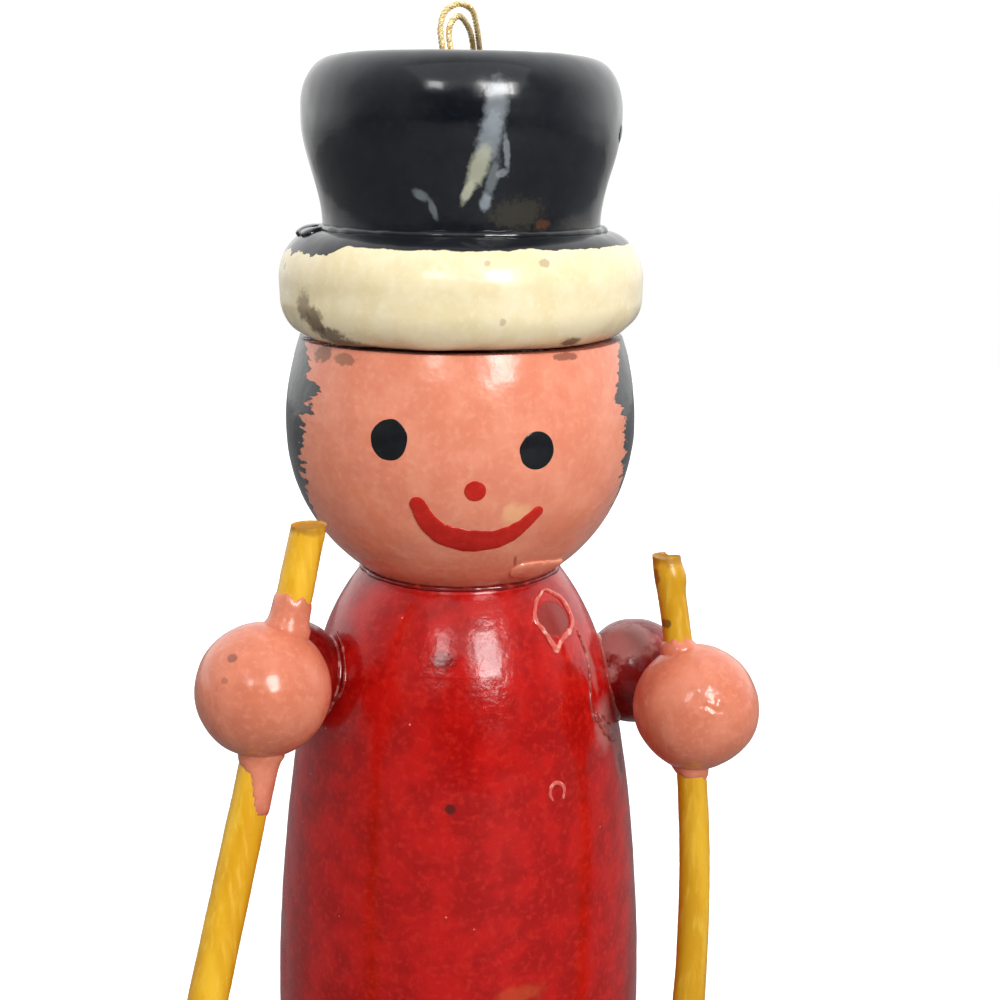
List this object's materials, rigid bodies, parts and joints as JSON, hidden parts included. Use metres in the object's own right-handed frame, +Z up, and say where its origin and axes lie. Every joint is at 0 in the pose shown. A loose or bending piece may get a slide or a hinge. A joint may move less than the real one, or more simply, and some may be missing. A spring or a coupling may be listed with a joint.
{
  "type": "wooden figure ornament",
  "caption": "Hanging ornament: a turned-wood peg figure in a flared hat, with bead arms and hands gripping a pair of poles, on a cord loop.",
  "frame": {"origin": "centre of the body's flat foot, on its turning axis", "axes": "+Z up along the turning axis, -Y the way the painted face looks, +X to the right of someone facing it"},
  "size_m": [0.0582, 0.0525, 0.108],
  "materials": {
    "body_red": "gloss red enamel over turned wood",
    "sleeve_red": "dark red gloss enamel",
    "skin": "gloss pink enamel",
    "brim_cream": "cream enamel, dirty at its lower edge",
    "hat_black": "blue-black gloss enamel, scuffed",
    "pole_yellow": "yellow enamel on hand-cut sticks",
    "raw_wood": "bare wood",
    "gold_thread": "metallic twisted thread"
  },
  "bodies": {
    "root": {"body": "body_red", "head": "skin", "hat_brim": "brim_cream", "hat_crown": "hat_black", "centre_dowel": "raw_wood", "left_arm": "sleeve_red", "right_arm": "sleeve_red", "left_hand": "skin", "right_hand": "skin", "left_shoulder_peg": "raw_wood", "right_shoulder_peg": "raw_wood", "left_wrist_peg": "raw_wood", "right_wrist_peg": "raw_wood", "left_pole": "pole_yellow", "right_pole": "pole_yellow", "hanging_loop": "gold_thread", "loop_knot": "gold_thread"}
  },
  "joints": []
}
